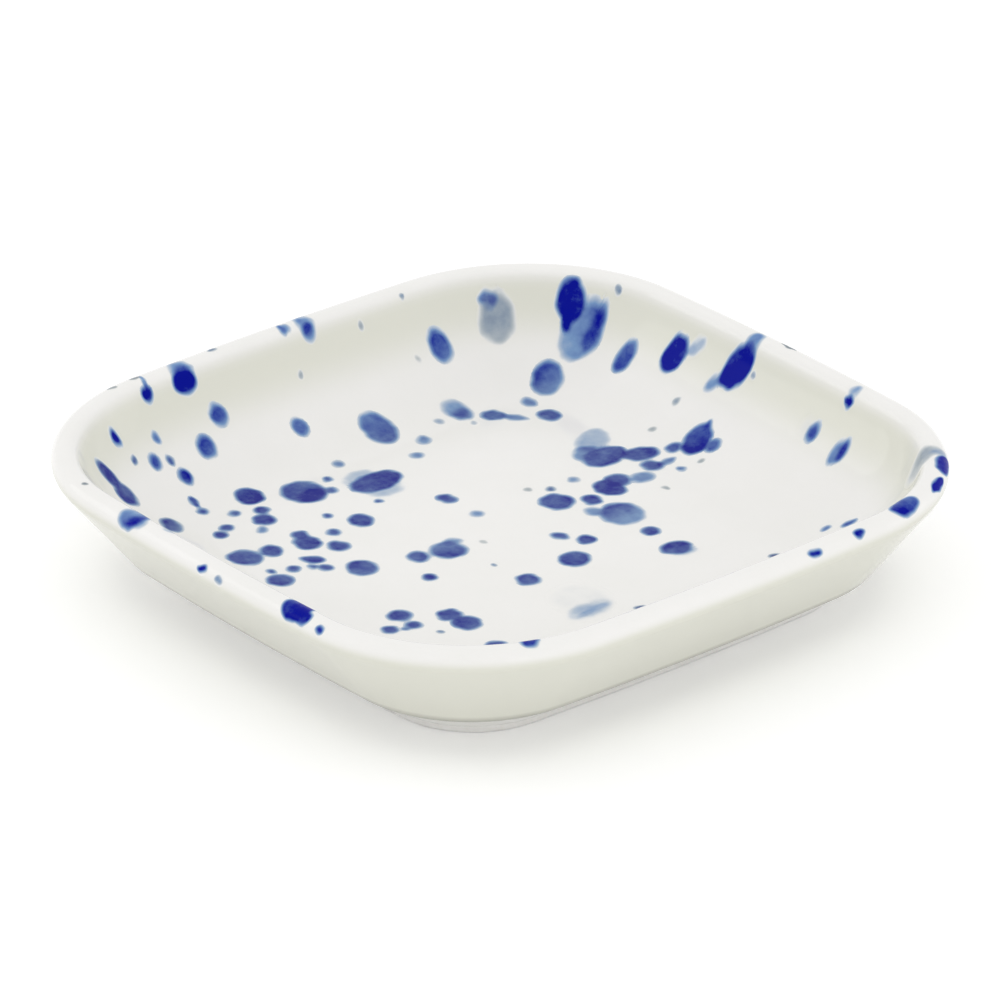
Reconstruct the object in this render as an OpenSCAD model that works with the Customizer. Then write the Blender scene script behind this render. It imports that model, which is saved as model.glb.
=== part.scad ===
// Square soy sauce dish in glazed stoneware, with bowed sides, a rolled lip and a foot ring.
// One section is swept round the rim, so lip, wall, cove and foot keep their shape at the corners.
// Lengths are millimetres. The dish stands on z = 0 and its centre is on the z axis.

/* [Outline] */
// Width across the middle of two opposite sides
dish_w = 100; // [90:1:130]
// Radius of the slight outward bow of each side
side_bow_r = 600; // [400:10:900]
// Radius of the corners at the rim
corner_r = 27.2; // [25:0.1:34]

/* [Wall and well] */
// Height from the table to the top of the lip
dish_h = 19; // [18:0.1:22]
// Thickness of the rolled lip
lip_d = 3.8; // [3.2:0.1:4.6]
// Depth of the well below the top of the lip
well_depth = 12.8; // [11:0.1:13.4]
// Radius of the cove that joins the inner wall to the floor
cove_r = 19; // [16:0.1:21]
// Inset of the lower edge of the outer wall from the rim
wall_inset = 9.3; // [7:0.1:10.5]
// Rounding of the lower edge of the outer wall
edge_r = 1.6; // [1:0.1:2.2]

/* [Foot] */
// Height of the underside of the wall above the table
overhang_h = 4.3; // [3.4:0.1:5]
// Inset of the foot ring from the rim, at the table
foot_inset = 14.3; // [13.6:0.1:15.4]
// Width of the foot ring at the table
foot_w = 4.2; // [3.4:0.1:4.8]
// Lean of both faces of the foot ring, in degrees
foot_draft = 10; // [4:1:14]
// Height of the hollow inside the foot ring
recess_h = 2; // [1.6:0.1:2.6]
// Fillets where the foot ring meets the underside
foot_fillet_r = 1; // [0.6:0.1:1.2]
// Rounding of the bare rim of the foot ring
foot_rim_r = 0.6; // [0.3:0.1:0.9]

/* [Glaze] */
// Thickness of the glaze
glaze_t = 0.35; // [0.2:0.05:0.5]
// Height of the bare clay below the edge of the glaze
glaze_line_h = 1.2; // [0.9:0.1:1.5]
// Thickness of the blue drops on the glaze
drop_t = 0.12; // [0.08:0.02:0.2]

/* [Hidden] */
$fn = 96;

// How far cutting shapes run past the faces that they cut
overrun = 1;
// Clearance between the clay and the glaze that lies on it
glaze_gap = 0.05;
clay_depth = glaze_t + glaze_gap;
// How far arcs bite past the lines and arcs that they touch, so that the two cross cleanly
arc_bite = 0.0005;
// How far the flat floor runs on past the cove, and how far the floor plate laps over it
floor_run = 1;
plate_lap = 0.5;

// Steps per degree and per millimetre to which angles and coarse moves are rounded
angle_steps = 1000;
place_steps = 100;

// The rim is eight arcs: a side arc about [-side_back, 0], then a corner arc about [corner_at, corner_at]
side_back = side_bow_r - dish_w / 2;
arc_gap = side_bow_r - corner_r;
corner_near = (sqrt(2 * arc_gap * arc_gap - side_back * side_back) - side_back) / 2;
side_half_angle = round(atan2(corner_near, corner_near + side_back) * angle_steps) / angle_steps;
corner_at = side_back * tan(side_half_angle) / (1 - tan(side_half_angle));
rim_corner_r = side_bow_r - corner_at / sin(side_half_angle);

// Section points are [inset from the rim, height above the table]
lip_r = lip_d / 2;
lip_centre = [lip_r, dish_h - lip_r];
floor_z = dish_h - well_depth;
cove_z = floor_z + cove_r;
cove_span = cove_r + lip_r;
cove_centre = [lip_r + sqrt(cove_span * cove_span - pow(cove_z - lip_centre.y, 2)), cove_z];
join_inset = cove_centre.x + floor_run;
core_z = (recess_h + floor_z) / 2;
foot_middle = foot_inset + foot_w / 2;

// Slope of the outer wall: the line from its lower edge that just touches the lip
wall_rise = lip_centre - [wall_inset, overhang_h];
wall_slope = atan2(wall_rise.y, -wall_rise.x) - asin(lip_r / norm(wall_rise));
wall_normal = [-sin(wall_slope), -cos(wall_slope)];

// Blue drops, as [across, along, radius] in shares of half the dish's width
drop_shares = [
    // Far corner and the far left wall
    [-0.690, 0.820, 0.040], [-0.627, 0.803, 0.062], [-0.466, 0.818, 0.037], [-0.316, 0.865, 0.037],
    [-0.610, 0.672, 0.050], [-0.595, 0.640, 0.048], [-0.810, 0.653, 0.050], [-0.829, 0.466, 0.034],
    [-0.476, 0.557, 0.034], [-0.566, 0.560, 0.020], [-0.575, 0.443, 0.033], [-0.640, 0.373, 0.040],
    // Far right wall and its lip
    [-0.105, 0.885, 0.040], [-0.072, 0.900, 0.038], [-0.068, 0.942, 0.020], [0.270, 0.859, 0.020],
    [0.390, 0.844, 0.027], [0.823, 0.800, 0.042], [0.341, 0.916, 0.018], [0.603, 0.687, 0.020],
    // Cluster in the middle
    [-0.050, 0.722, 0.048], [0.009, 0.726, 0.020], [-0.083, 0.665, 0.022], [-0.127, 0.586, 0.042],
    [-0.054, 0.566, 0.031], [-0.180, 0.520, 0.050], [-0.178, 0.482, 0.050], [-0.044, 0.445, 0.038],
    [-0.023, 0.392, 0.045], [0.000, 0.312, 0.029], [0.116, 0.321, 0.062], [0.243, 0.312, 0.024],
    [0.362, 0.300, 0.040], [-0.052, 0.235, 0.046], [0.170, 0.153, 0.026], [0.107, 0.112, 0.020],
    [0.237, 0.058, 0.041], [-0.257, 0.027, 0.025], [-0.020, -0.158, 0.052], [-0.039, -0.243, 0.030],
    [0.251, -0.110, 0.033], [0.274, -0.390, 0.032], [0.338, -0.384, 0.039], [0.194, -0.491, 0.032],
    [0.257, -0.495, 0.021], [0.239, -0.558, 0.023], [-0.084, -0.395, 0.043], [0.073, -0.295, 0.018],
    [0.470, -0.374, 0.041], [0.487, -0.093, 0.040],
    // Near left half of the floor
    [-0.680, 0.133, 0.057], [-0.453, -0.020, 0.053], [-0.453, -0.070, 0.055], [-0.766, -0.064, 0.026],
    [-0.535, -0.237, 0.065], [-0.305, -0.225, 0.034], [-0.852, -0.275, 0.024], [-0.798, -0.358, 0.029],
    [-0.605, -0.364, 0.042], [-0.522, -0.387, 0.020], [-0.474, -0.416, 0.031], [-0.225, -0.362, 0.029],
    [-0.295, -0.413, 0.038], [-0.340, -0.400, 0.023], [-0.212, -0.465, 0.023], [-0.742, -0.470, 0.021],
    [-0.490, -0.545, 0.026], [-0.318, -0.514, 0.033], [-0.329, -0.593, 0.048], [-0.165, -0.603, 0.036],
    [-0.578, -0.642, 0.033], [-0.696, -0.700, 0.036], [-0.746, -0.719, 0.032],
    // Near walls and the lip
    [-0.295, -0.966, 0.036], [0.390, -0.962, 0.038], [0.948, 0.578, 0.036], [-0.925, -0.335, 0.034],
    [0.080, -0.800, 0.040], [0.420, -0.760, 0.034], [-0.330, -0.820, 0.028], [0.640, -0.700, 0.046],
    [0.800, -0.330, 0.036], [0.860, 0.060, 0.030], [0.760, 0.310, 0.042], [0.620, -0.080, 0.034],
];

// A point pushed a given distance into the solid from the wall's face
function wall_point(depth) = lip_centre + (lip_r - depth) * wall_normal;

// The corner where the wall and the underside would meet if their edge were sharp
function edge_corner(depth) =
    [wall_point(depth).x + (wall_point(depth).y - overhang_h - depth) / tan(wall_slope), overhang_h + depth];

// Outer and inner faces of the foot ring at a height
function foot_out(z, depth) = [foot_inset - z * tan(foot_draft) + depth / cos(foot_draft), z];
function foot_in(z, depth) = [foot_inset + foot_w + z * tan(foot_draft) - depth / cos(foot_draft), z];

function unit(v) = v / norm(v);

// The sliver between a sharp corner and the arc that rounds it, where a and b lie along its two sides
module corner_sliver(a, corner, b, r) {
    u = unit(a - corner);
    v = unit(b - corner);
    half = acos(u * v) / 2;
    centre = corner + unit(u + v) * r / sin(half);
    run = r / tan(half);
    difference() {
        polygon([corner - unit(u + v) * r / 2, corner + u * run, centre, corner + v * run]);
        translate(centre) circle(r + arc_bite);
    }
}

// The dish's section from the rim to the flat floor, with its skin moved inwards by depth
module dish_section(depth) {
    edge = edge_corner(depth);
    foot_root = foot_out(overhang_h + depth, depth);
    foot_heel = foot_out(0, depth);
    foot_toe = foot_in(0, depth);
    recess_root = foot_in(recess_h + depth, depth);
    recess_end = [join_inset, recess_h + depth];
    difference() {
        union() {
            polygon([
                lip_centre, wall_point(depth), edge, foot_root, foot_heel, foot_toe, recess_root, recess_end,
                [join_inset, floor_z - depth], [cove_centre.x, floor_z - depth], cove_centre
            ]);
            corner_sliver(edge, foot_root, foot_heel, foot_fillet_r + depth);
            corner_sliver(foot_toe, recess_root, recess_end, foot_fillet_r + depth);
        }
        translate(cove_centre) circle(cove_r + depth + arc_bite);
        corner_sliver(wall_point(depth), edge, foot_root, edge_r - depth);
        corner_sliver(foot_root, foot_heel, foot_toe, foot_rim_r);
        corner_sliver(foot_heel, foot_toe, recess_root, foot_rim_r);
    }
    translate(lip_centre) circle(lip_r - depth + arc_bite);
}

// The layer of the section between two depths below the glazed surface
module skin_section(upper, lower) {
    difference() {
        dish_section(upper);
        dish_section(lower);
    }
}

// Glaze from the foot's outer face over the wall and the lip to the floor
module coat_section() {
    far = join_inset + overrun;
    top = dish_h + overrun;
    intersection() {
        skin_section(0, glaze_t);
        polygon([
            [-overrun, glaze_line_h], [foot_middle, glaze_line_h], [foot_middle, core_z],
            [far, core_z], [far, top], [-overrun, top]
        ]);
    }
}

// Glaze on the hollow inside the foot ring
module base_section() {
    intersection() {
        skin_section(0, glaze_t);
        translate([foot_middle, glaze_line_h])
            square([join_inset + overrun - foot_middle, core_z - glaze_line_h]);
    }
}

// A film on the upper side alone, from the outside of the lip's crest to the floor
module film_section() {
    far = join_inset + overrun;
    top = dish_h + overrun;
    intersection() {
        skin_section(-drop_t, 0);
        polygon([
            [-overrun, lip_centre.y], lip_centre, edge_corner(edge_r), [far, core_z],
            [far, top], [-overrun, top]
        ]);
    }
}

// Moves in a coarse and then a fine step, so that no digits of a long distance are lost
module place(to) {
    coarse = [for (distance = to) round(distance * place_steps) / place_steps];
    translate(coarse) translate(to - coarse) children();
}

// Sweeps a section once round the rim, side and corner in turn
module sweep_round() {
    for (turn = [0 : 3])
        rotate([0, 0, turn * 90]) {
            translate([-side_back, 0, 0])
                rotate_extrude(start = -side_half_angle, angle = 2 * side_half_angle)
                    translate([side_bow_r, 0]) mirror([1, 0]) children();
            place([corner_at, corner_at, 0])
                rotate_extrude(start = side_half_angle, angle = 90 - 2 * side_half_angle)
                    place([rim_corner_r, 0]) mirror([1, 0]) children();
        }
}

// The rim's outline moved inwards
module outline(inset) {
    side_r = side_bow_r - inset;
    arc_end = [side_r * sin(side_half_angle), side_r * cos(side_half_angle) - side_back];
    for (turn = [0 : 3])
        rotate(turn * 90) {
            intersection() {
                translate([0, -side_back]) circle(side_r);
                translate([-arc_end.x, 0]) square([2 * arc_end.x, dish_w / 2]);
            }
            translate([corner_at, corner_at]) circle(rim_corner_r - inset);
            polygon([[0, 0], [arc_end.y, 0], [arc_end.y, arc_end.x], arc_end, [0, arc_end.y]]);
        }
}

// The flat middle of the floor between two heights
module floor_plate(low, high) {
    translate([0, 0, low])
        linear_extrude(high - low) outline(join_inset - plate_lap);
}

// Upright rounds where the drops fell
module drop_rounds() {
    for (drop = drop_shares)
        translate([drop.x, drop.y, 0] * dish_w / 2)
            cylinder(r = drop.z * dish_w / 2, h = dish_h + overrun);
}

// Fired clay, bare only at the rim of the foot ring
module clay_body() {
    color([0.83, 0.79, 0.71]) {
        sweep_round() dish_section(clay_depth);
        floor_plate(recess_h + clay_depth, floor_z - clay_depth);
    }
}

// Pale glaze over everything that shows when the dish stands
module glaze_coat() {
    color([0.94, 0.94, 0.91]) {
        sweep_round() coat_section();
        floor_plate(floor_z - glaze_t, floor_z);
    }
}

// Pale glaze on the underside, inside the wiped foot ring
module base_glaze() {
    color([0.94, 0.94, 0.91]) {
        sweep_round() base_section();
        floor_plate(recess_h, recess_h + glaze_t);
    }
}

// Cobalt glaze thrown on in drops
module blue_spatter() {
    color([0.16, 0.22, 0.58])
        intersection() {
            union() {
                sweep_round() film_section();
                floor_plate(floor_z, floor_z + drop_t);
            }
            drop_rounds();
        }
}

clay_body();
glaze_coat();
base_glaze();
blue_spatter();
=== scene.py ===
# Square soy sauce dish: pale glaze over fired clay, with cobalt drops thrown on before firing.
# Lengths are metres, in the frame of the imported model, unless a name says otherwise.
import math
from collections import namedtuple

import bpy
import numpy as np
from mathutils import Matrix, Vector


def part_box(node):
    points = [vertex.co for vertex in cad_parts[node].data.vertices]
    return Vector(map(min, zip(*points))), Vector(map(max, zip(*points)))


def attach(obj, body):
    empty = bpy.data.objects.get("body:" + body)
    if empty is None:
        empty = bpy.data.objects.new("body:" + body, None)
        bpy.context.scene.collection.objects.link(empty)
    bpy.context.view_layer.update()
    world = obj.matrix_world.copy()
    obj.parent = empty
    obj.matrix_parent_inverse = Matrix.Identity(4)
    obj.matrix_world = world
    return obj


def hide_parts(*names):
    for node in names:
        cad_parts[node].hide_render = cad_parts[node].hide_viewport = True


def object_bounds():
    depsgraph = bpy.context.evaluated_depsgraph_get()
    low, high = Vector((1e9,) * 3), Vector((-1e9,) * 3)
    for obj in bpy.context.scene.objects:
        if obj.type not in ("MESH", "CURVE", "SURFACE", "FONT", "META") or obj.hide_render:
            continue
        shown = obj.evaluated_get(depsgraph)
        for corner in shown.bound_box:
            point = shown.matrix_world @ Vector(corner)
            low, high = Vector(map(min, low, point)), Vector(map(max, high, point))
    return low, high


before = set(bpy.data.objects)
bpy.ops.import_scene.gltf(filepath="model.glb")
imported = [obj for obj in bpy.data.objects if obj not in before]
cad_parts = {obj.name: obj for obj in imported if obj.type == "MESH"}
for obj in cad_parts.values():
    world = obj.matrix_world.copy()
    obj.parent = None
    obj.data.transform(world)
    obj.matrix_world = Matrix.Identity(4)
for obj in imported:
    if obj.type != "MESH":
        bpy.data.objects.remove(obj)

MM = 0.001
cad_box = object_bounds()
coat_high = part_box("glaze_coat")[1]

# Outline of the rim: four bowed sides and four corner arcs
HALF_W = coat_high[0]
SIDE_BOW_R = 600 * MM
CORNER_R = 27.2 * MM

# Section of the wall, from the lip to the foot
DISH_H = coat_high[2]
LIP_R = 1.9 * MM
WELL_DEPTH = 12.8 * MM
COVE_R = 19 * MM
WALL_INSET = 9.3 * MM
EDGE_R = 1.6 * MM
OVERHANG_H = 4.3 * MM
FOOT_INSET = 14.3 * MM
FOOT_DRAFT = math.radians(10)
FOOT_FILLET_R = 1 * MM
GLAZE_T = 0.35 * MM
GLAZE_LINE_H = 1.2 * MM
GLAZE_BEAD_H = 0.5 * MM
FLOOR_RUN = 1 * MM

# Fineness of the glaze's mesh: steps along each stretch of the rim and of the section
SIDE_STEPS = 40
CORNER_STEPS = 48
SKIN_STEPS = {"bead": 5, "foot": 4, "fillet": 6, "under": 4, "edge": 9, "wall": 12, "lip": 30, "cove": 30}
BACK_STEPS = {"bead": 1, "foot": 2, "fillet": 4, "under": 2, "edge": 5, "wall": 3, "lip": 14, "cove": 12}
FLOOR_STEPS = 19
FLOOR_SHARES = np.linspace(1, 0, FLOOR_STEPS + 1)[1:-1]

# Soft edges of the drops: wider on pale drops, limited on small ones, and spread evenly about the edge
DROP_FEATHER = 0.75 * MM
PALE_FEATHER_SHARE = 1.6
FEATHER_LIMIT_SHARE = 1.7
FEATHER_SHARES = (-0.5, 0.5)

# How proud a drop stands, higher on the lip and in small steps from one drop to the next,
# how its top falls towards its edge, and how deep its edge and its back lie in the glaze
DROP_RISE = 0.02 * MM
LIP_RISE = 0.014 * MM
DROP_RISE_STEP = 0.002 * MM
DROP_RISE_CYCLE = 6
DROP_FALL_SHARES = (0.15, 1)
DROP_TUCK = 0.012 * MM
DROP_BACK = 0.12 * MM
DROP_MARGIN = 0.3 * MM

# Fineness of the drops' meshes, and the least share of a drop that stays flat
DROP_STEP = 0.4 * MM
LIP_STEP = 0.15 * MM
LENS_SIDES = 14
FLAT_RINGS = 2
SOFT_RINGS = 4
BACK_RING_STEP = 3
CORE_SHARE = 0.35

# Uneven outlines and tones, and the greyer blue of the floor, which starts over a span of insets
WOBBLE_ORDERS = range(2, 6)
DROP_WOBBLE_SHARE = 0.035
DROP_LEAN_SHARE = 0.10
FLOOR_GREY_SHARE = 0.28
FLOOR_GREY_START = (10 * MM, 20 * MM)
DROP_SEED = 7

# Ragged edges: waves that push the colour about, as count, reach, and length with its spread
RAG_WAVES = 12
RAG_REACH = 0.10 * MM
RAG_LENGTH = 2.2 * MM
RAG_LENGTH_SHARES = (0.6, 1.8)
RAG_SEED = 8

# Least values that keep divisions safe
LEAST_LENGTH = 1e-9
LEAST_WEIGHT = 1e-6

# How far past the crest a drop may run down the outside of the lip
LIP_ROLL_LIMIT = math.radians(100)

# Where the glaze gathers and shows its own tint, darkened by painted shade on the steep inner walls and on
# the outer wall, which face away from the light: insets inside the well, heights outside it
POOL_SHADE_START = (2.8 * MM, 4.2 * MM)
POOL_SHADE_END = (5 * MM, 12 * MM)
POOL_SHADE_TOP = (16.6 * MM, 18.4 * MM)
POOL_SHADE_FOOT = (2.5 * MM, 4.2 * MM)
# A painted shadow in the crease along the wall's lower edge, by height
CREASE_SHADOW_START = (4.25 * MM, 4.4 * MM)
CREASE_SHADOW_END = (4.75 * MM, 5.25 * MM)
POOL_SHADE_SHARE = 0.8

# Drops as (across, along, long radius, short radius, turn in degrees, tone, grey, lean, lean's turn).
# Places and radii are shares of half the dish's width, and a tone of 1 is the darkest blue.
# Grey is how much of the blue burnt out, and lean how much darker one side of the drop is, except where a
# row is marked as painted highlight or painted reflection.
Drop = namedtuple("Drop", "across along long short turn tone grey lean lean_turn", defaults=(0, 0, 0))
DROP_SHARES = [
    # Far corner and the far left wall
    (-0.693, 0.815, 0.041, 0.031, 30, 1.00), (-0.679, 0.786, 0.022, 0.013, -39, 0.95),
    (-0.625, 0.794, 0.063, 0.057, 80, 0.58, 0, 0.25, 51), (-0.600, 0.822, 0.048, 0.020, 95, 0.62),
    (-0.466, 0.817, 0.037, 0.028, 100, 0.80, 0, 0.08, 270), (-0.316, 0.865, 0.038, 0.036, 0, 1.00),
    (-0.258, 0.893, 0.030, 0.012, 22, 0.32), (-0.603, 0.656, 0.061, 0.042, -42, 0.72, 0, 0.30, 205),
    (-0.807, 0.647, 0.043, 0.048, -25, 0.42, 0.65), (-0.847, 0.647, 0.011, 0.026, -25, 0.66),
    (-0.829, 0.466, 0.037, 0.031, -20, 0.77, 0, 0.14, 186), (-0.471, 0.553, 0.033, 0.030, 0, 0.80),
    (-0.566, 0.560, 0.024, 0.017, 0, 0.62), (-0.570, 0.439, 0.033, 0.029, 40, 0.78),
    (-0.520, 0.476, 0.036, 0.015, 30, 0.55), (-0.650, 0.373, 0.042, 0.034, 0, 0.50, 0, 0.20, 6),
    (-0.622, 0.376, 0.026, 0.028, 0, 0.52), (-0.628, 0.300, 0.014, 0.012, 0, 0.34, 0.3),
    (-0.575, 0.202, 0.024, 0.017, -35, 0.56), (-0.514, 0.130, 0.018, 0.016, 0, 0.60),
    (-0.212, 0.784, 0.011, 0.009, 0, 0.42, 0.6), (-0.585, 0.895, 0.012, 0.005, 17, 0.50, 0.5),
    (-0.924, 0.409, 0.004, 0.007, 0, 0.50, 0.5), (-0.823, 0.383, 0.008, 0.008, 0, 0.20, 0.8),
    (-0.909, 0.257, 0.005, 0.007, 0, 0.38, 0.7), (-0.874, 0.019, 0.006, 0.008, 0, 0.36, 0.7),
    (-0.568, 0.370, 0.012, 0.009, 0, 0.24, 0.3),
    # Far right wall and the far lips
    (-0.088, 0.892, 0.050, 0.035, 18, 1.00), (-0.070, 0.938, 0.022, 0.032, 0, 0.58),
    (-0.140, 0.856, 0.024, 0.014, 40, 0.48), (0.266, 0.855, 0.018, 0.020, 0, 0.78),
    (0.238, 0.857, 0.022, 0.017, 0, 0.06, 0.4), (0.339, 0.917, 0.017, 0.006, 0, 0.92),
    (0.344, 0.938, 0.014, 0.018, 0, 0.42),
    (0.380, 0.838, 0.016, 0.026, 0, 0.62), (0.397, 0.846, 0.014, 0.024, 0, 0.88),
    # Cluster in the middle
    (-0.049, 0.719, 0.056, 0.040, 118, 0.87), (-0.063, 0.770, 0.014, 0.009, 100, 0.66),
    (0.009, 0.726, 0.018, 0.022, 0, 0.78), (-0.083, 0.665, 0.022, 0.020, 0, 0.80),
    (-0.127, 0.586, 0.050, 0.038, 65, 0.84), (-0.054, 0.566, 0.031, 0.028, 0, 0.84),
    (-0.044, 0.610, 0.013, 0.026, 0, 0.56), (0.014, 0.610, 0.012, 0.011, 0, 0.62),
    (-0.179, 0.505, 0.072, 0.048, 100, 0.80, 0, 0.16, 6), (-0.272, 0.540, 0.074, 0.042, -48, 0.32),
    (-0.225, 0.480, 0.045, 0.035, -50, 0.58), (-0.017, 0.500, 0.026, 0.034, 0, 0.58),
    (-0.046, 0.440, 0.036, 0.036, 0, 0.84), (-0.023, 0.394, 0.050, 0.040, 0, 0.88),
    (-0.125, 0.353, 0.015, 0.013, 0, 0.50, 0.2), (0.000, 0.312, 0.030, 0.026, 0, 0.84),
    (0.116, 0.321, 0.066, 0.057, -10, 0.66, 0, 0.26, 186), (0.055, 0.272, 0.024, 0.020, 0, 0.56),
    (0.243, 0.312, 0.025, 0.024, 0, 0.86), (0.362, 0.300, 0.044, 0.036, 90, 0.84, 0, 0.14, 141),
    (0.394, 0.308, 0.018, 0.030, 0, 0.26), (-0.121, 0.272, 0.013, 0.011, 0, 0.78, 0.4),
    (-0.158, 0.223, 0.012, 0.010, 0, 0.42, 0.8), (-0.052, 0.235, 0.047, 0.045, 0, 0.84),
    (0.170, 0.153, 0.026, 0.025, 0, 0.86), (0.110, 0.113, 0.026, 0.017, 25, 0.76),
    (0.237, 0.058, 0.042, 0.042, 0, 0.86), (-0.257, 0.027, 0.028, 0.023, 15, 0.82),
    (-0.136, 0.031, 0.016, 0.015, 0, 0.56), (-0.018, -0.160, 0.048, 0.048, 0, 0.78, 0, 0.20, 6),
    (-0.050, -0.118, 0.024, 0.017, 60, 0.50), (-0.039, -0.243, 0.031, 0.029, 0, 0.82),
    (0.073, -0.295, 0.019, 0.018, 0, 0.88), (0.251, -0.110, 0.033, 0.031, 0, 0.82),
    (0.127, -0.124, 0.010, 0.007, 0, 0.42, 0.4), (0.274, -0.390, 0.032, 0.032, 0, 0.84),
    (0.338, -0.384, 0.039, 0.037, 0, 0.84), (0.194, -0.491, 0.032, 0.031, 0, 0.84),
    (0.257, -0.495, 0.022, 0.020, 0, 0.82), (0.239, -0.558, 0.023, 0.021, 0, 0.84),
    (0.263, -0.524, 0.010, 0.010, 0, 0.60), (0.335, -0.468, 0.010, 0.007, 30, 0.50, 0.4),
    (-0.085, -0.395, 0.043, 0.041, 0, 0.82), (-0.197, 0.687, 0.011, 0.009, 0, 0.40, 0.8),
    (0.074, 0.507, 0.013, 0.009, 0, 0.36, 0.8), (0.027, 0.669, 0.008, 0.008, 0, 0.36, 0.8),
    (0.005, -0.060, 0.011, 0.008, 0, 0.26, 0.8), (0.556, 0.649, 0.010, 0.011, 0, 0.62),
    (0.606, 0.685, 0.020, 0.012, 40, 0.78), (0.491, -0.411, 0.030, 0.032, 0, 0.84),
    (0.567, 0.010, 0.018, 0.012, 51, 0.86, 0.5), (0.570, 0.466, 0.018, 0.012, 51, 0.86, 0.5),
    # Thin wash that was wiped across the floor
    (0.430, -0.080, 0.090, 0.075, 0, 0.06, 0.5), (0.490, -0.098, 0.074, 0.036, 97, 0.12),
    (0.494, -0.090, 0.052, 0.014, 97, 0.22), (0.478, -0.118, 0.034, 0.024, 85, 0.13),
    # Near left half of the floor
    (-0.680, 0.133, 0.064, 0.047, -8, 0.73), (-0.458, -0.051, 0.079, 0.051, 95, 0.85),
    (-0.492, -0.070, 0.050, 0.056, 0, 0.24), (-0.404, -0.060, 0.034, 0.052, 0, 0.24),
    (-0.768, -0.066, 0.026, 0.021, -20, 0.72), (-0.607, -0.064, 0.017, 0.013, -30, 0.56, 0.2),
    (-0.362, -0.118, 0.011, 0.010, 0, 0.84), (-0.555, -0.141, 0.016, 0.012, -35, 0.74),
    (-0.538, -0.237, 0.064, 0.058, -10, 0.80), (-0.505, -0.232, 0.036, 0.048, 20, 0.80),
    (-0.497, -0.174, 0.018, 0.016, 0, 0.74), (-0.305, -0.225, 0.037, 0.032, -10, 0.86),
    (-0.385, -0.275, 0.014, 0.011, -20, 0.78), (-0.852, -0.275, 0.020, 0.026, 0, 0.77, 0, 0.12, 186),
    (-0.295, -0.324, 0.020, 0.017, 0, 0.80), (-0.797, -0.358, 0.029, 0.025, -35, 0.80, 0, 0.12, 186),
    (-0.605, -0.364, 0.044, 0.038, -20, 0.92), (-0.522, -0.387, 0.022, 0.020, 0, 0.84),
    (-0.474, -0.416, 0.032, 0.030, 0, 0.86), (-0.430, -0.457, 0.018, 0.013, -45, 0.55),
    (-0.555, -0.453, 0.018, 0.015, -20, 0.80), (-0.225, -0.362, 0.030, 0.028, 0, 0.84),
    (-0.293, -0.413, 0.040, 0.036, 0, 0.86), (-0.340, -0.400, 0.025, 0.022, 0, 0.84),
    (-0.208, -0.462, 0.033, 0.019, 35, 0.82), (-0.147, -0.465, 0.020, 0.016, 15, 0.80),
    (-0.173, -0.488, 0.014, 0.012, 0, 0.76), (-0.742, -0.470, 0.026, 0.018, -15, 0.88),
    (-0.847, -0.486, 0.011, 0.009, 0, 0.70), (-0.795, -0.480, 0.012, 0.009, 0, 0.78, 0.2),
    (-0.798, -0.528, 0.020, 0.015, -25, 0.84), (-0.655, -0.509, 0.026, 0.010, -10, 0.80),
    (-0.612, -0.514, 0.014, 0.014, 0, 0.80), (-0.500, -0.520, 0.019, 0.017, 0, 0.82),
    (-0.480, -0.558, 0.021, 0.019, 0, 0.84), (-0.318, -0.514, 0.034, 0.029, 0, 0.84),
    (-0.329, -0.593, 0.047, 0.047, 0, 0.82), (-0.197, -0.534, 0.018, 0.016, 0, 0.80),
    (-0.222, -0.587, 0.013, 0.011, 0, 0.76), (-0.165, -0.603, 0.034, 0.036, 0, 0.84),
    (-0.806, -0.592, 0.012, 0.007, -40, 0.70, 0.3), (-0.847, -0.620, 0.014, 0.016, 0, 1.00),
    (-0.578, -0.642, 0.036, 0.028, -30, 0.78, 0.3, 0.25, 231),
    (-0.696, -0.700, 0.040, 0.029, -35, 0.88, 0.25),
    (-0.746, -0.719, 0.032, 0.027, 20, 0.90, 0.25),
    # Lip all round
    # On the near lip, the first drop of this row and of the next is darker towards the outside and lighter
    # along the crest: painted highlight
    (-0.302, -0.964, 0.042, 0.041, 0, 0.62, 0, 0.60, 312), (-0.268, -0.974, 0.024, 0.018, 0, 0.45),
    (0.381, -0.959, 0.047, 0.044, 0, 0.96, 0, 0.12, 300), (0.422, -0.976, 0.028, 0.022, 0, 0.90),
    (0.027, -1.000, 0.016, 0.010, 0, 1.00), (0.099, -1.005, 0.014, 0.008, 0, 0.48, 0.3),
    (0.496, -0.985, 0.013, 0.009, 0, 0.90), (-0.190, -0.940, 0.034, 0.012, -15, 0.20),
    (-0.533, -0.948, 0.010, 0.006, 0, 0.55, 0.9), (0.945, 0.578, 0.050, 0.030, 105, 0.85, 0, 0.35, 6),
    # The two pale grey drops at the right corner, at 0.752 and 0.742 across, are a painted reflection beside
    # the dark drop
    (0.826, 0.822, 0.050, 0.023, -49, 0.96, 0, 0.15, 51), (0.752, 0.838, 0.040, 0.028, 55, 0.20, 0.7),
    (0.742, 0.812, 0.048, 0.030, 135, 0.24, 0.7), (0.775, 0.850, 0.022, 0.016, 45, 0.30, 0.1),
    (0.899, 0.738, 0.044, 0.013, -60, 1.00), (0.982, 0.391, 0.011, 0.018, 0, 1.00),
    (0.991, 0.235, 0.011, 0.019, 0, 0.90), (0.908, -0.640, 0.022, 0.026, 51, 0.92),
    (-0.946, 0.078, 0.018, 0.012, 0, 0.28), (-0.945, 0.088, 0.019, 0.012, 0, 0.30),
    (-0.929, 0.090, 0.011, 0.018, 0, 0.82), (-0.940, 0.106, 0.017, 0.012, 0, 0.32),
    (-0.962, 0.092, 0.018, 0.018, 0, 0.30), (-0.950, 0.018, 0.016, 0.010, 0, 0.68),
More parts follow.
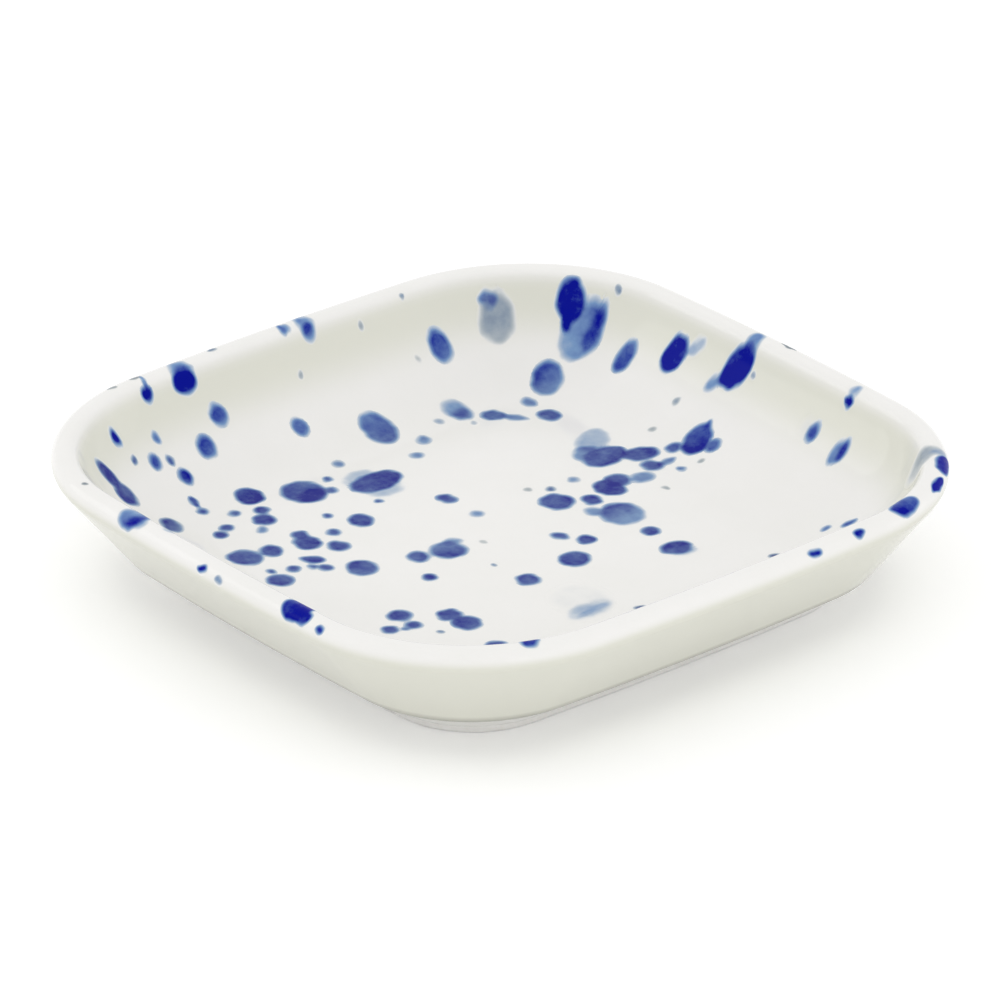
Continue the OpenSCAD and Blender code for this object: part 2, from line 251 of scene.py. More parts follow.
    (-0.948, 0.032, 0.014, 0.010, 0, 0.40), (-0.917, -0.335, 0.015, 0.038, 0, 1.00),
    (-0.930, -0.334, 0.014, 0.032, 0, 0.60), (-0.944, -0.336, 0.022, 0.026, 0, 0.50),
    (-0.914, -0.463, 0.008, 0.015, 0, 0.98),
    (-0.938, -0.455, 0.020, 0.006, -10, 0.50), (-0.962, -0.207, 0.008, 0.013, 0, 0.60, 0.6),
    (-0.957, -0.470, 0.006, 0.018, 0, 0.55, 0.9), (-0.950, -0.551, 0.006, 0.012, 0, 0.45, 0.9),
    (0.034, 0.972, 0.032, 0.005, 0, 0.60, 0.9), (-0.024, 0.895, 0.007, 0.005, 0, 0.40, 0.4),
    # Near walls, which the near lip hides
    (0.080, -0.800, 0.040, 0.036, 20, 0.90), (0.420, -0.760, 0.034, 0.030, 0, 0.85),
    (-0.330, -0.820, 0.028, 0.026, 0, 0.80), (0.640, -0.700, 0.046, 0.040, 40, 0.92),
    (0.800, -0.330, 0.036, 0.032, 0, 0.85), (0.860, 0.060, 0.030, 0.026, 0, 0.80),
    (0.760, 0.310, 0.042, 0.036, 60, 0.90), (0.620, -0.080, 0.034, 0.032, 0, 0.84),
]
DROPS = [Drop(*row) for row in DROP_SHARES]

# Colours, as plain linear light, and the glaze's gloss
GLAZE_IOR = 1.28
COBALT_IOR = 1.12
GLAZE_WHITE = (0.900, 0.890, 0.870)
GLAZE_CREAM = (0.880, 0.872, 0.845)
# The pool colour is the glaze's own greenish cream, made darker as painted shade for walls that face away
# from the light
GLAZE_POOL_SHADE = (0.765, 0.765, 0.680)
# The line colour is painted shadow in the crease under the wall's lower edge
CREASE_SHADOW = (0.440, 0.435, 0.380)
BLUE_MIST = (0.500, 0.580, 0.680)
BLUE_PALE = (0.195, 0.325, 0.560)
BLUE_MID = (0.043, 0.082, 0.365)
BLUE_DEEP = (0.001, 0.005, 0.290)
GREY_MIST = (0.500, 0.525, 0.510)
GREY_PALE = (0.220, 0.250, 0.265)
GREY_DEEP = (0.060, 0.070, 0.120)
CLAY_PALE = (0.930, 0.920, 0.900)
CLAY_WARM = (0.870, 0.855, 0.820)
FLOOR_WHITE = (0.950, 0.950, 0.950)

# Usual noise: its detail, its roughness, and the span that holds most of its values
NOISE_DETAIL = 3
NOISE_ROUGHNESS = 0.5
NOISE_SPAN = (0.3, 0.7)
ROUGH_NOISE_ROUGHNESS = 0.65

# Grain of the glaze: faint clouds, the tint of gathered glaze with painted shade on the walls and a painted
# shadow in the crease, uneven gloss and a soft ripple
CLOUD_GRAIN = 9 * MM
CLOUD_DETAIL = 4
CLOUD_STOPS = [(0.30, GLAZE_WHITE), (0.75, GLAZE_CREAM)]
POOL_SHADE_STOPS = [(0, GLAZE_WHITE), (POOL_SHADE_SHARE, GLAZE_POOL_SHADE), (1, CREASE_SHADOW)]
GLOSS_GRAIN = 3 * MM
GLOSS_ROUGHNESS = (0.05, 0.10)
RIPPLE_GRAIN = 2.5 * MM
RIPPLE_DETAIL = 2
RIPPLE_DEPTH = 0.006 * MM

# Mottling of the cobalt, fine where it is dark and broad where it is pale, and its colours by depth
FINE_GRAIN = 1.6 * MM
FINE_DETAIL = 5
FINE_SHARES = (0.88, 1.10)
BROAD_GRAIN = 2.6 * MM
BROAD_DETAIL = 4
BROAD_SHARES = (0.62, 1.30)
BLUE_STOPS = [
    (0, GLAZE_WHITE), (0.20, BLUE_MIST), (0.46, BLUE_PALE), (0.80, BLUE_MID), (0.94, BLUE_DEEP)]
BURNT_STOPS = [(0, GLAZE_WHITE), (0.25, GREY_MIST), (0.60, GREY_PALE), (1, GREY_DEEP)]
COVER_DEPTH = 0.12

# Grain of the bare clay
CLAY_GRAIN = 0.8 * MM
CLAY_DETAIL = 6
CLAY_STOPS = [(0.35, CLAY_PALE), (0.75, CLAY_WARM)]
CLAY_ROUGHNESS = (0.7, 0.9)
CLAY_BUMP = 0.04 * MM

# Camera, as the photograph was taken
CAMERA_TURN = math.radians(51.345)
CAMERA_TILT = math.radians(26.351)
CAMERA_ROLL = math.radians(-0.972)
CAMERA_DISTANCE = 1095.12 * MM
CAMERA_LENS_MM = 300.93
CAMERA_SENSOR_MM = 36
CAMERA_AIM = Vector((0, 0, 10 * MM))
CAMERA_RISE = 1.128 * MM
CAMERA_SLIDE = 0.042 * MM
CAMERA_CLIP = (10 * MM, 20)

# Surroundings: an even fill, and a floor and backdrop that look a little lighter than they are lit
WORLD_FILL = 0.94
STAGE_SIZE = 6
STAGE_LIFT = 0.18
BACKDROP_H = 0.4
BACKDROP_SIDES = 48

# Lamps as (name, turn and tilt in degrees as for the camera, distance, size, watts)
LAMPS = [
    ("front_right_lamp", 80, 8, 1.0, 0.5, 0.7),
    ("front_left_lamp", 15, 30, 1.0, 0.5, 0.12),
    ("left_lamp", -60, 25, 1.0, 0.5, 0.8),
    ("right_lamp", 150, 12, 1.0, 0.5, 0.4),
]

# Derived outline and section, where section points are (inset from the rim, height)
STRAIGHT_DOWN = math.pi * 1.5
side_back = SIDE_BOW_R - HALF_W
arc_gap = SIDE_BOW_R - CORNER_R
corner_at = (math.sqrt(2 * arc_gap ** 2 - side_back ** 2) - side_back) / 2
side_half = math.atan2(corner_at, corner_at + side_back)
floor_z = DISH_H - WELL_DEPTH
lip_centre = np.array([LIP_R, DISH_H - LIP_R])
cove_span = COVE_R + LIP_R
cove_z = floor_z + COVE_R
cove_centre = np.array([LIP_R + math.sqrt(cove_span ** 2 - (cove_z - lip_centre[1]) ** 2), cove_z])
lip_to_cove = math.atan2(cove_z - lip_centre[1], cove_centre[0] - LIP_R)
lip_end = LIP_R + LIP_R * math.cos(lip_to_cove)
wall_rise = lip_centre - np.array([WALL_INSET, OVERHANG_H])
wall_slope = math.atan2(wall_rise[1], -wall_rise[0]) - math.asin(LIP_R / np.hypot(*wall_rise))
wall_angle = STRAIGHT_DOWN - wall_slope


def arc(centre, radius, start, end, steps):
    """Points of an arc in the section, from one angle to another."""
    angles = np.linspace(start, end, steps + 1)
    return np.stack([centre[0] + radius * np.cos(angles), centre[1] + radius * np.sin(angles)], axis=1)


def stretch(start, end, steps):
    """Points of a straight run between two section points, without its ends."""
    shares = np.linspace(0, 1, steps + 1)[1:-1, None]
    return start + (end - start) * shares


def foot_face(height, depth):
    """Point on the foot's outer face at a height, pushed into the clay by depth."""
    inset = FOOT_INSET - height * math.tan(FOOT_DRAFT) + depth / math.cos(FOOT_DRAFT)
    return np.array([inset, height])


def rounding(corner, first, second, radius):
    """Centre of the arc that rounds a corner whose sides run towards first and second."""
    u = (first - corner) / np.hypot(*(first - corner))
    v = (second - corner) / np.hypot(*(second - corner))
    half = math.acos(float(u @ v)) / 2
    middle = (u + v) / np.hypot(*(u + v))
    return corner + middle * radius / math.sin(half)


def section(depth, steps):
    """The glaze's section from its edge on the foot, over the wall and lip, to the floor."""
    wall_top = lip_centre + LIP_R * np.array([math.cos(wall_angle), math.sin(wall_angle)])
    edge_inset = wall_top[0] + (wall_top[1] - OVERHANG_H) / math.tan(wall_slope)
    edge = np.array([edge_inset, OVERHANG_H])
    root = foot_face(OVERHANG_H, 0)
    fillet = rounding(root, edge, foot_face(0, 0), FOOT_FILLET_R)
    edge_centre = rounding(edge, wall_top, root, EDGE_R)
    foot_run = arc(fillet, FOOT_FILLET_R + depth, FOOT_DRAFT, math.pi / 2, steps["fillet"])
    edge_run = arc(edge_centre, EDGE_R - depth, STRAIGHT_DOWN, wall_angle, steps["edge"])
    lip_run = arc(lip_centre, LIP_R - depth, wall_angle, lip_to_cove, steps["lip"])
    cove_run = arc(cove_centre, COVE_R + depth, math.pi + lip_to_cove, STRAIGHT_DOWN, steps["cove"])
    share = np.linspace(0, math.pi / 2, steps["bead"] + 1)
    bead = np.array([
        foot_face(GLAZE_LINE_H + GLAZE_BEAD_H * (1 - math.cos(a)), GLAZE_T + (depth - GLAZE_T) * math.sin(a))
        for a in share])
    return np.concatenate([
        bead, stretch(bead[-1], foot_run[0], steps["foot"]),
        foot_run, stretch(foot_run[-1], edge_run[0], steps["under"]),
        edge_run, stretch(edge_run[-1], lip_run[0], steps["wall"]),
        lip_run, cove_run[1:], [cove_run[-1] + np.array([FLOOR_RUN, 0])]])


def rim_stations():
    """Points round the rim, anticlockwise from the middle of a side, and their outward directions."""
    side = np.linspace(-side_half, side_half, SIDE_STEPS, endpoint=False)
    corner = np.linspace(side_half, math.pi / 2 - side_half, CORNER_STEPS, endpoint=False)
    angles = np.concatenate([side, corner])
    outward = np.stack([np.cos(angles), np.sin(angles)], axis=1)
    centres = np.array([[-side_back, 0]] * SIDE_STEPS + [[corner_at, corner_at]] * CORNER_STEPS)
    radii = np.array([SIDE_BOW_R] * SIDE_STEPS + [CORNER_R] * CORNER_STEPS)
    points = centres + outward * radii[:, None]
    quarter = np.array([[0, 1], [-1, 0]])
    turns = [np.linalg.matrix_power(quarter, turn) for turn in range(4)]
    return np.concatenate([points @ t for t in turns]), np.concatenate([outward @ t for t in turns])


def inset_at(plan):
    """Inset of plan points from the rim, and the direction in which it grows."""
    size = np.abs(plan)
    swap = size[:, 1] > size[:, 0]
    far = size.max(axis=1)
    near = size.min(axis=1)
    on_side = (np.arctan2(near, far + side_back) <= side_half) | (far <= corner_at)
    arm_far = np.where(on_side, far + side_back, far - corner_at)
    arm_near = np.where(on_side, near, near - corner_at)
    length = np.maximum(np.hypot(arm_far, arm_near), LEAST_LENGTH)
    inset = np.where(on_side, SIDE_BOW_R, CORNER_R) - length
    across = np.where(swap, arm_near, arm_far) / length
    along = np.where(swap, arm_far, arm_near) / length
    return inset, -np.stack([across, along], axis=1) * np.where(plan < 0, -1, 1)


def upper_surface(plan):
    """Points of the dish's upper side for plan points, with their normals.

    Outside the crest, the plan is rolled down over the lip, so that a drop can run over it.
    """
    inset, inward = inset_at(plan)
    roll = (inset - LIP_R) / LIP_R
    roll = np.where(roll < 0, np.maximum(roll, -LIP_ROLL_LIMIT), np.arcsin(np.clip(roll, 0, 1)))
    to_cove = np.clip((cove_centre[0] - inset) / COVE_R, 0, math.cos(lip_to_cove))
    lean = np.where(inset < lip_end, roll, np.arcsin(to_cove))
    height = np.where(
        inset < lip_end, lip_centre[1] + LIP_R * np.cos(roll), cove_z - COVE_R * np.cos(lean))
    shift = np.where(inset < LIP_R, LIP_R + LIP_R * np.sin(roll) - inset, 0)
    points = np.column_stack([plan + shift[:, None] * inward, height])
    return points, np.column_stack([inward * np.sin(lean)[:, None], np.cos(lean)])


def smooth_step(value, span):
    """Eases from 0 to 1 as the value crosses the span."""
    share = np.clip((value - span[0]) / (span[1] - span[0]), 0, 1)
    return share * share * (3 - 2 * share)


def pool_shade_inside(inset):
    """How much the glaze's gathered tint and painted shade darken the upper side, by inset from the rim."""
    return POOL_SHADE_SHARE * smooth_step(inset, POOL_SHADE_START) * (1 - smooth_step(inset, POOL_SHADE_END))


def pool_shade_outside(height):
    """How much the glaze's gathered tint and painted shade darken the outer wall, by height, with a painted
    shadow line along its lower edge.
    """
    wall = smooth_step(height, POOL_SHADE_FOOT) * (1 - smooth_step(height, POOL_SHADE_TOP))
    # Painted shadow in the crease where the wall's lower edge turns under
    line = smooth_step(height, CREASE_SHADOW_START) * (1 - smooth_step(height, CREASE_SHADOW_END))
    return POOL_SHADE_SHARE * wall + (1 - POOL_SHADE_SHARE) * line


def paint(piece, name, values):
    """Stores one value per point of a mesh, for its material."""
    attribute = piece.data.attributes.new(name, "FLOAT", "POINT")
    attribute.data.foreach_set("value", values)


def new_piece(name, points, faces):
    """A smooth mesh object that rides on the dish."""
    mesh = bpy.data.meshes.new(name)
    mesh.from_pydata(points.tolist(), [], faces)
    mesh.update()
    mesh.polygons.foreach_set("use_smooth", [True] * len(mesh.polygons))
    piece = bpy.data.objects.new(name, mesh)
    bpy.context.collection.objects.link(piece)
    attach(piece, "root")
    return piece


def ring_faces(ring, next_ring, count):
    """Quads between two rings of a mesh, given the index of each ring's first point."""
    return [
        (ring + i, ring + (i + 1) % count, next_ring + (i + 1) % count, next_ring + i)
        for i in range(count)]


def fan_faces(ring, centre, count):
    """Triangles from a ring to a single point."""
    return [(ring + i, ring + (i + 1) % count, centre) for i in range(count)]


def skin_rings(depth, steps):
    """Rings of points over the glazed side, from the foot to the middle of the floor."""
    rim, outward = rim_stations()
    rings = []
    for inset, height in section(depth, steps):
        rings.append(np.column_stack([rim - inset * outward, np.full(len(rim), height)]))
    floor_edge = rings[-1]
    return rings + [floor_edge * [share, share, 1] for share in FLOOR_SHARES]


def skin_pool_shades(count):
    """The glaze's gathered tint and painted shade on each point of the outer skin, ring by ring."""
    line = section(0, SKIN_STEPS)
    crest = int(np.argmax(line[:, 1]))
    outer = pool_shade_outside(line[:crest, 1])
    inner = pool_shade_inside(line[crest:, 0])
    return np.repeat(np.concatenate([outer, inner, np.zeros(len(FLOOR_SHARES))]), count)


def glaze_coat():
    """The glaze as a closed shell: its outer skin, and its back against the clay."""
    skin = skin_rings(0, SKIN_STEPS)
    back = skin_rings(GLAZE_T, BACK_STEPS)[:0:-1]
    count = len(skin[0])
    rings = skin + back
    centres = np.array([[0, 0, floor_z], [0, 0, floor_z - GLAZE_T]])
    points = np.concatenate(rings + [centres])
    front_centre = len(rings) * count
    faces = fan_faces((len(skin) - 1) * count, front_centre, count)
    faces += [face[::-1] for face in fan_faces(len(skin) * count, front_centre + 1, count)]
    for index in range(len(rings)):
        following = (index + 1) % len(rings)
        if index != len(skin) - 1:
            faces += ring_faces(index * count, following * count, count)
    piece = new_piece("glaze_coat_skin", points, faces)
    # Painted shade on the walls, with the glaze's gathered tint, and painted shadow in the crease
    pool_shades = np.zeros(len(points))
    pool_shades[:len(skin) * count] = skin_pool_shades(count)
    paint(piece, "pool_shade", pool_shades)
    return piece


def drop_feather(drop):
    """Width of a drop's soft edge: pale drops are softer, and small ones are limited by their size."""
    feather = DROP_FEATHER * (1 + PALE_FEATHER_SHARE * (1 - drop.tone))
    return min(feather, max(FEATHER_LIMIT_SHARE * min(drop.long, drop.short) * HALF_W, DROP_MARGIN))


def drop_reach(drop, angles, phases):
    """Distance from a drop's middle to its edge in given directions."""
    local = angles - math.radians(drop.turn)
    round_off = np.hypot(drop.short * np.cos(local), drop.long * np.sin(local))
    wobble = sum(np.cos(order * angles + phases[order]) / order for order in WOBBLE_ORDERS)
    return HALF_W * drop.long * drop.short / round_off * (1 + DROP_WOBBLE_SHARE * wobble)


def drop_phases():
    """Random phases of every drop's edge, the same on each run."""
    shape = (len(DROPS), WOBBLE_ORDERS.stop)
    return np.random.default_rng(DROP_SEED).uniform(0, 2 * math.pi, shape)


def ragged(plan):
    """Plan points pushed about by small waves, which makes edges uneven."""
    random = np.random.default_rng(RAG_SEED)
    moved = plan.copy()
    for _ in range(RAG_WAVES):
        heading, phase, side = random.uniform(0, 2 * math.pi, 3)
        length = RAG_LENGTH * random.uniform(*RAG_LENGTH_SHARES)
        travel = plan @ np.array([math.cos(heading), math.sin(heading)])
        push = RAG_REACH * math.sqrt(2 / RAG_WAVES) * np.sin(travel * 2 * math.pi / length + phase)
        moved += push[:, None] * np.array([math.cos(side), math.sin(side)])
    return moved


def lean_over(offset, turn):
    """How far offsets reach towards a turn in degrees."""
    return offset @ np.array([math.cos(math.radians(turn)), math.sin(math.radians(turn))])


def pigment_at(plan, phases):
    """How much cobalt lies on plan points, from 0 to 1, and how grey it is, over all drops."""
    plan = ragged(plan)
    bare = np.ones(len(plan))
    grey = np.zeros(len(plan))
    weight = np.full(len(plan), LEAST_WEIGHT)
    for drop, phase in zip(DROPS, phases):
        offset = plan - np.array([drop.across, drop.along]) * HALF_W
        inside = drop_reach(drop, np.arctan2(offset[:, 1], offset[:, 0]), phase) - np.hypot(*offset.T)
        cover = smooth_step(inside / drop_feather(drop), FEATHER_SHARES)
        size = max(drop.long, drop.short) * HALF_W
        uneven = DROP_LEAN_SHARE * lean_over(offset, math.degrees(phase[0])) / size
        uneven += drop.lean * lean_over(offset, drop.lean_turn) / size
        layer = np.clip(drop.tone * (1 + np.clip(uneven, -1, 1)), 0, 1) * cover
        bare *= 1 - layer
        grey += drop.grey * layer
        weight += layer
    return 1 - bare, grey / weight


def lens_rings(drop, reach, rise, step):
    """Radii of a lens's rings from its middle outwards, and how proud each ring stands."""
    feather = drop_feather(drop)
    core = np.maximum(reach - feather / 2, CORE_SHARE * reach)
    edge = reach + feather / 2 + DROP_MARGIN
    flat_count = max(FLAT_RINGS, int(core.max() / step))
    soft_count = max(SOFT_RINGS, int(feather / step))
    flat = np.arange(1, flat_count + 1) / flat_count
    soft = np.arange(1, soft_count + 1) / soft_count
    radii = [core * share for share in flat] + [core + (edge - core) * share for share in soft]
    fall = (rise + DROP_TUCK) * smooth_step(soft, DROP_FALL_SHARES)
    return radii, np.concatenate([np.full(flat_count, rise), rise - fall])


def lens_faces(first, count, rings, back_rings):
    """Faces of a lens, numbered from first: its top from the middle outwards, then its back to its edge."""
    starts = [first + 1 + ring * count for ring in range(rings)]
    faces = fan_faces(starts[0], first, count)
    for ring, following in zip(starts, starts[1:]):
        faces += [face[::-1] for face in ring_faces(ring, following, count)]
    base = starts[-1] + count
    faces += [face[::-1] for face in fan_faces(base + 1, base, count)]
    back_starts = [base + 1 + ring * count for ring in range(back_rings)] + starts[-1:]
    for ring, following in zip(back_starts, back_starts[1:]):
        faces += ring_faces(ring, following, count)
    return faces


def drop_lens(drop, phase, rise, first):
    """One drop as a thin closed lens: its points, its plan, and its faces numbered from first."""
    middle = np.array([drop.across, drop.along]) * HALF_W
    widest = max(drop.long, drop.short) * HALF_W
    on_lip = inset_at(middle[None])[0][0] - widest - DROP_FEATHER < lip_end
    step = LIP_STEP if on_lip else DROP_STEP
    rise += LIP_RISE if on_lip else 0
    count = max(LENS_SIDES, int(2 * math.pi * widest / step))
    angles = np.arange(count) * 2 * math.pi / count
    radii, rises = lens_rings(drop, drop_reach(drop, angles, phase), rise, step)
    direction = np.stack([np.cos(angles), np.sin(angles)], axis=1)
    plan = np.concatenate([middle[None]] + [middle + direction * radius[:, None] for radius in radii])
    surface, normals = upper_surface(plan)
    top = surface + normals * np.concatenate([[rise], np.repeat(rises, count)])[:, None]
    back_rings = range(0, len(radii) - 1, BACK_RING_STEP)
    back = np.concatenate([[0]] + [1 + ring * count + np.arange(count) for ring in back_rings])
    under = surface[back] - normals[back] * DROP_BACK
    faces = lens_faces(first, count, len(radii), len(back_rings))
    return np.concatenate([top, under]), np.concatenate([plan, plan[back]]), faces


def blue_spatter():
    """All the drops, with the depth of their colour on each point."""
    phases = drop_phases()
    points, plans, faces, total = [], [], [], 0
    for index, (drop, phase) in enumerate(zip(DROPS, phases)):
        rise = DROP_RISE + DROP_RISE_STEP * (index % DROP_RISE_CYCLE)
        lens, lens_plan, sides = drop_lens(drop, phase, rise, total)
        points.append(lens)
        plans.append(lens_plan)
        faces += sides
        total += len(lens)
    piece = new_piece("cobalt_spatter", np.concatenate(points), faces)
    plan = np.concatenate(plans)
    inset = inset_at(plan)[0]
    pigment, grey = pigment_at(plan, phases)
    floor_grey = FLOOR_GREY_SHARE * pigment * smooth_step(inset, FLOOR_GREY_START)
    paint(piece, "pigment", pigment)
    paint(piece, "grey", np.maximum(grey, floor_grey))
    # The drops get the same painted shade on the walls as the glaze around them
    paint(piece, "pool_shade", pool_shade_inside(inset))
    return piece


class Nodes:
    """A material's node tree, with short calls to add and join nodes."""

    def __init__(self, name):
        self.material = bpy.data.materials.new(name)
        self.material.use_nodes = True
        self.tree = self.material.node_tree
        self.shader = self.tree.nodes["Principled BSDF"]
        self.place = self.add("ShaderNodeTexCoord").outputs["Object"]

    def add(self, kind, **settings):
        """A new node with its settings."""
        node = self.tree.nodes.new(kind)
        for key, value in settings.items():
            setattr(node, key, value)
        return node

    def join(self, source, target):
        """Links an output to an input."""
        self.tree.links.new(source, target)

    def feed(self, source, name):
        """Links an output to one of the shader's inputs."""
        self.join(source, self.shader.inputs[name])

    def painted(self, name):
        """The values that were stored on the mesh under a name."""
        return self.add("ShaderNodeAttribute", attribute_name=name).outputs["Fac"]

    def noise(self, grain, detail=NOISE_DETAIL, roughness=NOISE_ROUGHNESS):
        """Noise whose grain is a length in metres."""
        node = self.add("ShaderNodeTexNoise")
        node.inputs["Scale"].default_value = 1 / grain
        node.inputs["Detail"].default_value = detail
        node.inputs["Roughness"].default_value = roughness
        self.join(self.place, node.inputs["Vector"])
        return node.outputs["Fac"]

    def ramp(self, value, stops):
        """Colours between stops of (position, linear colour)."""
        node = self.add("ShaderNodeValToRGB")
        elements = node.color_ramp.elements
        while len(elements) < len(stops):
            elements.new(1)
        for element, (position, colour) in zip(elements, stops):
            element.position = position
            element.color = (*colour, 1)
        self.join(value, node.inputs["Fac"])
        return node.outputs["Color"]

    def spread(self, value, span, source=NOISE_SPAN):
        """Maps a value from the usual span of a noise, or another source, to a span."""
        node = self.add("ShaderNodeMapRange")
        for key, number in zip(("From Min", "From Max", "To Min", "To Max"), (*source, *span)):
            node.inputs[key].default_value = number
        self.join(value, node.inputs["Value"])
        return node.outputs["Result"]

    def mix(self, share, first, second, kind="RGBA"):
        """A colour between two colours, or a number between two numbers."""
        node = self.add("ShaderNodeMix", data_type=kind)
        for key, source in (("Factor", share), ("A", first), ("B", second)):
            self.join(source, node.inputs[key])
        return node.outputs["Result"]

    def times(self, first, second):
        """The product of two numbers."""
        node = self.add("ShaderNodeMath", operation="MULTIPLY")
        self.join(first, node.inputs[0])
        self.join(second, node.inputs[1])
        return node.outputs["Value"]

    def bump(self, height, distance):
        """Tilts the shader's normal by a height, which is a share of a distance in metres."""
        node = self.add("ShaderNodeBump")
        node.inputs["Distance"].default_value = distance
        self.join(height, node.inputs["Height"])
        self.feed(node.outputs["Normal"], "Normal")


def glaze_finish(nodes):
    """The gloss, soft ripple and faint cloudiness that every glazed surface shares, with the gathered tint
    and painted shade stored on the mesh.
    """
    plain = nodes.ramp(nodes.noise(CLOUD_GRAIN, CLOUD_DETAIL), CLOUD_STOPS)
    # Painted shade and the glaze's gathered tint, from the mesh
    pool_shade = nodes.painted("pool_shade")
    pool_shade_colour = nodes.ramp(pool_shade, POOL_SHADE_STOPS)
    colour = nodes.mix(nodes.spread(pool_shade, (0, 1), (0, POOL_SHADE_SHARE)), plain, pool_shade_colour)
    nodes.feed(nodes.spread(nodes.noise(GLOSS_GRAIN), GLOSS_ROUGHNESS), "Roughness")
    nodes.bump(nodes.noise(RIPPLE_GRAIN, RIPPLE_DETAIL), RIPPLE_DEPTH)
    nodes.shader.inputs["IOR"].default_value = GLAZE_IOR
    return colour


def pale_glaze():
    """The plain glaze."""
    nodes = Nodes("pale_glaze")
    nodes.feed(glaze_finish(nodes), "Base Color")
    return nodes.material


def cobalt_glaze():
    """The drops' glaze, from bare glaze at their edges to dark blue or burnt grey."""
    nodes = Nodes("cobalt_glaze")
    ground = glaze_finish(nodes)
    pigment = nodes.painted("pigment")
    fine = nodes.spread(nodes.noise(FINE_GRAIN, FINE_DETAIL, ROUGH_NOISE_ROUGHNESS), FINE_SHARES)
    broad = nodes.spread(nodes.noise(BROAD_GRAIN, BROAD_DETAIL), BROAD_SHARES)
    depth = nodes.times(pigment, nodes.mix(pigment, broad, fine, "FLOAT"))
    blue = nodes.ramp(depth, BLUE_STOPS)
    burnt = nodes.ramp(depth, BURNT_STOPS)
    cover = nodes.spread(depth, (0, 1), (0, COVER_DEPTH))
    nodes.feed(nodes.mix(cover, ground, nodes.mix(nodes.painted("grey"), blue, burnt)), "Base Color")
    nodes.shader.inputs["IOR"].default_value = COBALT_IOR
    return nodes.material


def bare_clay():
    """The clay's dull, grainy surface, which shows at the rim of the foot."""
    nodes = Nodes("bare_clay")
    grain = nodes.noise(CLAY_GRAIN, CLAY_DETAIL, ROUGH_NOISE_ROUGHNESS)
    nodes.feed(nodes.ramp(grain, CLAY_STOPS), "Base Color")
    nodes.feed(nodes.spread(grain, CLAY_ROUGHNESS), "Roughness")
    nodes.bump(grain, CLAY_BUMP)
    return nodes.material


def dress(piece, material):
    """Gives a piece its only material."""
    piece.data.materials.clear()
    piece.data.materials.append(material)


def direct_view(tree):
    """A value that is 1 for rays that show the surroundings, straight or by reflection."""
    path = tree.nodes.new("ShaderNodeLightPath")
    value = path.outputs["Is Camera Ray"]
    for name in ("Is Glossy Ray", "Is Transmission Ray"):
        either = tree.nodes.new("ShaderNodeMath")
        either.operation = "MAXIMUM"
        tree.links.new(value, either.inputs[0])
        tree.links.new(path.outputs[name], either.inputs[1])
        value = either.outputs["Value"]
    return value


def studio_white():
    """White for the floor and backdrop, which keep the dish's shadow."""
    material = bpy.data.materials.new("floor_white")
    material.use_nodes = True
    tree = material.node_tree
    shader = tree.nodes["Principled BSDF"]
    shader.inputs["Base Color"].default_value = (*FLOOR_WHITE, 1)
    shader.inputs["Roughness"].default_value = 1
    shader.inputs["Specular IOR Level"].default_value = 0
    shader.inputs["Emission Color"].default_value = (1, 1, 1, 1)
    lift = tree.nodes.new("ShaderNodeMath")
    lift.operation = "MULTIPLY"
    lift.inputs[1].default_value = STAGE_LIFT
    tree.links.new(direct_view(tree), lift.inputs[0])
    tree.links.new(lift.outputs["Value"], shader.inputs["Emission Strength"])
    return material


def studio():
    """A white floor, with a low white backdrop all round its edge."""
    material = studio_white()
    low = cad_box[0][2]
    bpy.ops.mesh.primitive_circle_add(
        vertices=BACKDROP_SIDES, radius=STAGE_SIZE / 2, fill_type="NGON", location=(0, 0, low))
    floor = bpy.context.object
    floor.name = "floor"
    bpy.ops.mesh.primitive_cylinder_add(
        vertices=BACKDROP_SIDES, radius=STAGE_SIZE / 2, depth=BACKDROP_H, end_fill_type="NOTHING",
        location=(0, 0, low + BACKDROP_H / 2))
    backdrop = bpy.context.object
    backdrop.name = "backdrop"
    for surface in (floor, backdrop):
        dress(surface, material)


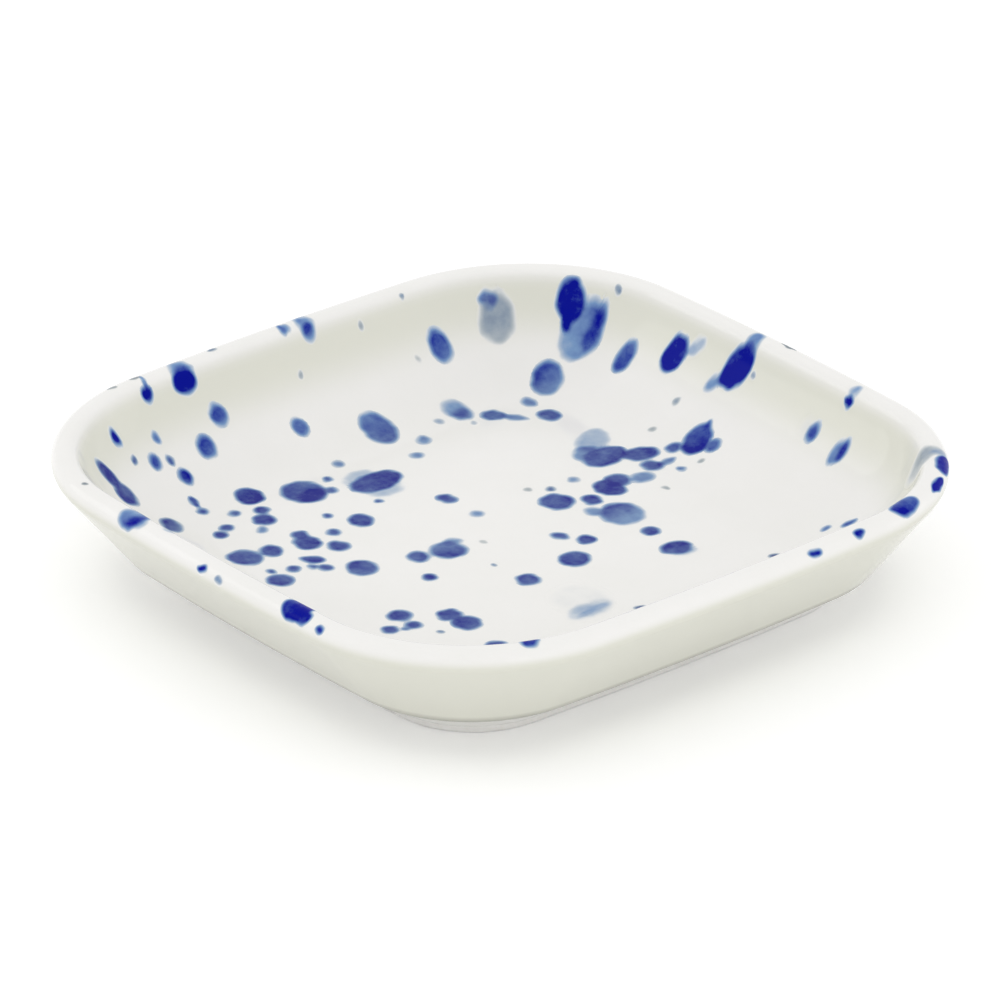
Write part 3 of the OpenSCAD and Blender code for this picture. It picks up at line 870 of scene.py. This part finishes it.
def surroundings():
    """An even white fill from all round."""
    world = bpy.data.worlds.new("studio")
    bpy.context.scene.world = world
    world.use_nodes = True
    tree = world.node_tree
    background = tree.nodes["Background"]
    background.inputs["Color"].default_value = (1, 1, 1, 1)
    background.inputs["Strength"].default_value = WORLD_FILL


def toward(turn, tilt):
    """Direction from the dish to a camera or lamp, where turn 0 is the middle of the near left side."""
    return Vector((math.sin(turn) * math.cos(tilt), -math.cos(turn) * math.cos(tilt), math.sin(tilt)))


def area_lamp(name, turn, tilt, distance, size, watts):
    """A round soft lamp that faces the dish."""
    lamp = bpy.data.lights.new(name, "AREA")
    lamp.shape = "DISK"
    lamp.size = size
    lamp.energy = watts
    direction = toward(math.radians(turn), math.radians(tilt))
    holder = bpy.data.objects.new(name, lamp)
    holder.location = CAMERA_AIM + direction * distance
    holder.rotation_euler = direction.to_track_quat("Z", "Y").to_euler()
    bpy.context.collection.objects.link(holder)


def photo_camera():
    """The camera at the photograph's viewing angle."""
    back = toward(CAMERA_TURN, CAMERA_TILT)
    level = Vector((math.cos(CAMERA_TURN), math.sin(CAMERA_TURN), 0))
    rise = back.cross(level)
    right = level * math.cos(CAMERA_ROLL) + rise * math.sin(CAMERA_ROLL)
    up = rise * math.cos(CAMERA_ROLL) - level * math.sin(CAMERA_ROLL)
    data = bpy.data.cameras.new("camera")
    data.sensor_width = CAMERA_SENSOR_MM
    data.lens = CAMERA_LENS_MM
    data.clip_start, data.clip_end = CAMERA_CLIP
    camera = bpy.data.objects.new("camera", data)
    place = CAMERA_AIM + back * CAMERA_DISTANCE + up * CAMERA_RISE + right * CAMERA_SLIDE
    camera.matrix_world = Matrix.Translation(place) @ Matrix((right, up, back)).transposed().to_4x4()
    bpy.context.collection.objects.link(camera)
    bpy.context.scene.camera = camera


photo_camera()
pale = pale_glaze()
coat = glaze_coat()
dress(coat, pale)
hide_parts("glaze_coat")
spatter = blue_spatter()
dress(spatter, cobalt_glaze())
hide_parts("blue_spatter")
dress(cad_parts["clay_body"], bare_clay())
dress(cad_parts["base_glaze"], pale)

studio()
surroundings()
for lamp in LAMPS:
    area_lamp(*lamp)
bpy.context.scene.view_settings.view_transform = "Standard"
